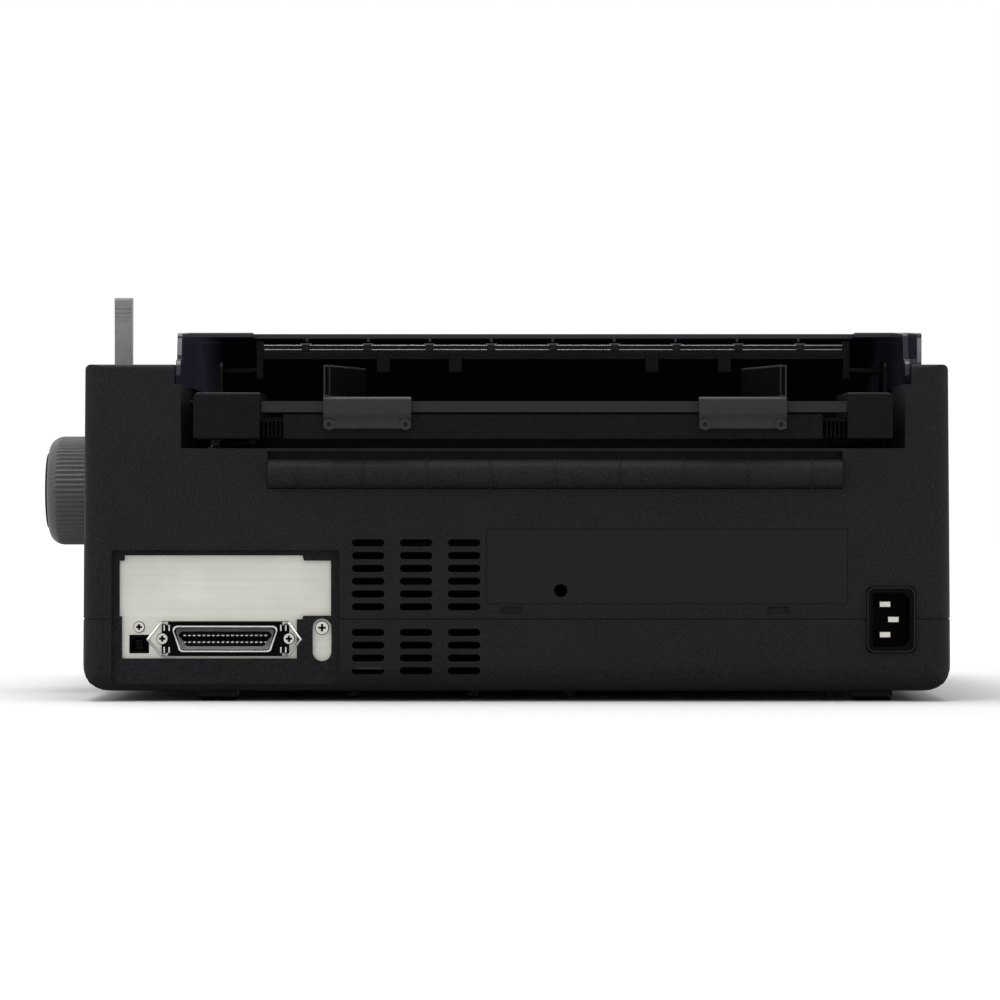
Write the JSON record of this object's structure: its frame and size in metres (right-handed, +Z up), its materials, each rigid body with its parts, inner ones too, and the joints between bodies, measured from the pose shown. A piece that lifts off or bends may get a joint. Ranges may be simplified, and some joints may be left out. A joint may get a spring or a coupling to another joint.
{
  "type": "dot matrix printer",
  "caption": "desktop impact printer with a hinged tinted cover, a tilting rear sheet guide with sliding edge guides, a platen knob, tractor feed and a recessed rear interface panel",
  "frame": {"origin": "centre of the underside of the bounding box, where the rubber feet stand on the table", "axes": "+X towards the platen knob, +Y towards the rear face with the interface panel, +Z up"},
  "size_m": [0.4209, 0.3512, 0.1876],
  "materials": {
    "case_plastic": "fine textured black ABS moulding",
    "smoked_cover": "smoke tinted clear plastic with a polished face",
    "guide_plastic": "fine textured black moulding",
    "grey_plastic": "mid grey moulded ABS with a fine texture",
    "dark_grey_plastic": "dark grey moulded ABS",
    "engine_plastic": "black engineering plastic, satin",
    "gear_plastic": "natural acetal resin, satin",
    "platen_rubber": "ground black nitrile rubber",
    "foot_rubber": "moulded black rubber",
    "belt_rubber": "black toothed belt rubber",
    "shaft_steel": "ground and polished steel",
    "sheet_steel": "zinc plated sheet steel",
    "bright_steel": "stainless spring steel",
    "plated_screws": "zinc plated screws",
    "connector_plastic": "black glass filled plastic",
    "brass_pins": "nickel plated brass",
    "motor_steel": "plated motor cans with satin end caps",
    "head_metal": "black anodised die cast aluminium",
    "board_laminate": "green lacquered glass laminate"
  },
  "bodies": {
    "case": {"lower_case": "case_plastic", "upper_case": "case_plastic", "rear_paper_lip": "case_plastic", "feet": "foot_rubber", "interface_plate": "sheet_steel", "ribbon_connector": "connector_plastic", "usb_socket": "bright_steel", "interface_screws": "plated_screws", "power_inlet": "connector_plastic", "inlet_pins": "brass_pins", "tension_frame": "guide_plastic", "tear_off_edge": "bright_steel", "platen_bushes": "gear_plastic", "feed_motor": "motor_steel", "tractor_rod": "shaft_steel", "side_frame_knob_side": "sheet_steel", "side_frame_far_side": "sheet_steel", "engine_base": "sheet_steel", "carriage_shaft": "shaft_steel", "carriage_rail": "sheet_steel", "paper_chute": "engine_plastic", "toothed_belt": "belt_rubber", "carriage_motor": "motor_steel", "ribbon_cartridge": "engine_plastic", "control_panel": "case_plastic", "circuit_boards": "board_laminate"},
    "cover": {"printer_cover": "smoked_cover"},
    "front_flap": {"front_cover": "case_plastic"},
    "guide": {"sheet_guide": "guide_plastic"},
    "edge_guide_knob": {"edge_guide_knob_side": "dark_grey_plastic"},
    "edge_guide_far": {"edge_guide_far_side": "dark_grey_plastic"},
    "platen_set": {"platen": "platen_rubber", "platen_shaft": "shaft_steel", "platen_knob": "grey_plastic", "knob_cap": "grey_plastic", "platen_gear": "gear_plastic"},
    "gear_front": {"feed_gear_front": "gear_plastic"},
    "gear_rear": {"feed_gear_rear": "gear_plastic"},
    "pinion": {"motor_pinion": "gear_plastic"},
    "tractor_drive": {"tractor_shaft": "shaft_steel"},
    "tractor_knob": {"tractor_knob_side": "engine_plastic"},
    "tractor_far": {"tractor_far_side": "engine_plastic"},
    "door_knob": {"tractor_door_knob_side": "engine_plastic"},
    "door_far": {"tractor_door_far_side": "engine_plastic"},
    "pins_knob": {"sprocket_knob_side": "gear_plastic"},
    "pins_far": {"sprocket_far_side": "gear_plastic"},
    "carriage_set": {"carriage": "engine_plastic", "print_head": "head_metal"},
    "pulley_drive": {"drive_pulley": "engine_plastic"},
    "pulley_idler": {"idler_pulley": "engine_plastic"},
    "rollers": {"tension_rollers": "gear_plastic"},
    "ribbon_winder": {"ribbon_knob": "gear_plastic"},
    "button_a": {"button_1": "dark_grey_plastic"},
    "button_b": {"button_2": "dark_grey_plastic"},
    "button_c": {"button_3": "dark_grey_plastic"},
    "switch": {"power_switch": "engine_plastic"},
    "paper_lever": {"release_lever": "grey_plastic"},
    "gap_lever": {"head_gap_lever": "engine_plastic"},
    "bail_knob": {"bail_knob_side": "bright_steel"},
    "bail_far": {"bail_far_side": "bright_steel"}
  },
  "joints": [
    {"name": "cover_hinge", "type": "hinge", "parent": "case", "child": "cover", "pos_m": [-0.0135, 0.15637, 0.1494], "axis": [-1, 0, 0], "range_deg": [0, 72]},
    {"name": "front_cover_hinge", "type": "hinge", "parent": "case", "child": "front_flap", "pos_m": [-0.0135, -0.17403, 0.024], "axis": [1, 0, 0], "range_deg": [0, 85]},
    {"name": "guide_tilt", "type": "hinge", "parent": "case", "child": "guide", "pos_m": [-0.0135, 0.10138, 0.136], "axis": [1, 0, 0], "range_deg": [0, 55]},
    {"name": "edge_guide_knob_slide", "type": "slide", "parent": "guide", "child": "edge_guide_knob", "axis": [1, 0, 0], "range_m": [-0.055, 0.022]},
    {"name": "edge_guide_far_slide", "type": "slide", "parent": "guide", "child": "edge_guide_far", "axis": [1, 0, 0], "range_m": [-0.022, 0.055]},
    {"name": "platen_turn", "type": "hinge", "parent": "case", "child": "platen_set", "pos_m": [-0.0135, 0.03637, 0.0956], "axis": [1, 0, 0], "continuous": true},
    {"name": "gear_front_turn", "type": "hinge", "parent": "case", "child": "gear_front", "pos_m": [-0.0135, 0.07026, 0.09279], "axis": [1, 0, 0], "continuous": true},
    {"name": "gear_rear_turn", "type": "hinge", "parent": "case", "child": "gear_rear", "pos_m": [-0.0135, 0.09816, 0.09048], "axis": [1, 0, 0], "continuous": true},
    {"name": "pinion_turn", "type": "hinge", "parent": "case", "child": "pinion", "pos_m": [-0.0135, 0.06852, 0.07186], "axis": [1, 0, 0], "continuous": true},
    {"name": "tractor_drive_turn", "type": "hinge", "parent": "case", "child": "tractor_drive", "pos_m": [-0.0135, 0.12806, 0.088], "axis": [1, 0, 0], "continuous": true},
    {"name": "tractor_knob_slide", "type": "slide", "parent": "case", "child": "tractor_knob", "axis": [1, 0, 0], "range_m": [-0.06, 0.008]},
    {"name": "tractor_far_slide", "type": "slide", "parent": "case", "child": "tractor_far", "axis": [1, 0, 0], "range_m": [-0.006, 0.06]},
    {"name": "tractor_door_knob_hinge", "type": "hinge", "parent": "tractor_knob", "child": "door_knob", "pos_m": [0.0922, -0.00363, 0.0976], "axis": [0, 1, 0], "range_deg": [0, 90]},
    {"name": "tractor_door_far_hinge", "type": "hinge", "parent": "tractor_far", "child": "door_far", "pos_m": [-0.1538, -0.00363, 0.0976], "axis": [0, -1, 0], "range_deg": [0, 90]},
    {"name": "sprocket_knob_turn", "type": "hinge", "parent": "tractor_knob", "child": "pins_knob", "pos_m": [-0.0135, 0.12806, 0.088], "axis": [1, 0, 0], "continuous": true},
    {"name": "sprocket_far_turn", "type": "hinge", "parent": "tractor_far", "child": "pins_far", "pos_m": [-0.0135, 0.12806, 0.088], "axis": [1, 0, 0], "continuous": true},
    {"name": "carriage_slide", "type": "slide", "parent": "case", "child": "carriage_set", "axis": [1, 0, 0], "range_m": [-0.105, 0.105]},
    {"name": "drive_pulley_turn", "type": "hinge", "parent": "case", "child": "pulley_drive", "pos_m": [-0.1648, -0.02363, 0], "axis": [0, 0, 1], "continuous": true},
    {"name": "idler_pulley_turn", "type": "hinge", "parent": "case", "child": "pulley_idler", "pos_m": [0.1032, -0.02363, 0], "axis": [0, 0, 1], "continuous": true},
    {"name": "rollers_turn", "type": "hinge", "parent": "case", "child": "rollers", "pos_m": [-0.0135, 0.08038, 0.1626], "axis": [1, 0, 0], "continuous": true},
    {"name": "ribbon_knob_turn", "type": "hinge", "parent": "case", "child": "ribbon_winder", "pos_m": [-0.1228, -0.04863, 0], "axis": [0, 0, 1], "continuous": true},
    {"name": "button_a_press", "type": "slide", "parent": "case", "child": "button_a", "axis": [0, -0.2467, 0.9691], "range_m": [-0.0006, 0], "stiffness_N_per_m": 800},
    {"name": "button_b_press", "type": "slide", "parent": "case", "child": "button_b", "axis": [0, -0.2467, 0.9691], "range_m": [-0.0006, 0], "stiffness_N_per_m": 800},
    {"name": "button_c_press", "type": "slide", "parent": "case", "child": "button_c", "axis": [0, -0.2467, 0.9691], "range_m": [-0.0006, 0], "stiffness_N_per_m": 800},
    {"name": "power_switch_rock", "type": "hinge", "parent": "case", "child": "switch", "pos_m": [-0.1815, -0.16962, 0.052], "axis": [1, 0, 0], "range_deg": [-6, 6]},
    {"name": "release_lever_swing", "type": "hinge", "parent": "case", "child": "paper_lever", "pos_m": [-0.0135, 0.04138, 0.125], "axis": [1, 0, 0], "range_deg": [-10, 10]},
    {"name": "head_gap_lever_swing", "type": "hinge", "parent": "case", "child": "gap_lever", "pos_m": [-0.0135, 0.00838, 0.118], "axis": [1, 0, 0], "range_deg": [-10, 10]},
    {"name": "bail_knob_swing", "type": "hinge", "parent": "case", "child": "bail_knob", "pos_m": [0.1449, 0.16498, 0], "axis": [0, 0, 1], "range_deg": [-30, 60]},
    {"name": "bail_far_swing", "type": "hinge", "parent": "case", "child": "bail_far", "pos_m": [0.0921, 0.16498, 0], "axis": [0, 0, 1], "range_deg": [-60, 30]}
  ],
  "couplings": [
    {"joint": "gear_front_turn", "follows": "platen_turn", "ratio": -1.4286},
    {"joint": "gear_rear_turn", "follows": "platen_turn", "ratio": 1.4286},
    {"joint": "pinion_turn", "follows": "platen_turn", "ratio": 2.8571},
    {"joint": "tractor_drive_turn", "follows": "platen_turn", "ratio": -1.25},
    {"joint": "sprocket_knob_turn", "follows": "platen_turn", "ratio": -1.25},
    {"joint": "sprocket_far_turn", "follows": "platen_turn", "ratio": -1.25},
    {"joint": "drive_pulley_turn", "follows": "carriage_slide", "rad_per_m": -151.52},
    {"joint": "idler_pulley_turn", "follows": "carriage_slide", "rad_per_m": -151.52}
  ]
}
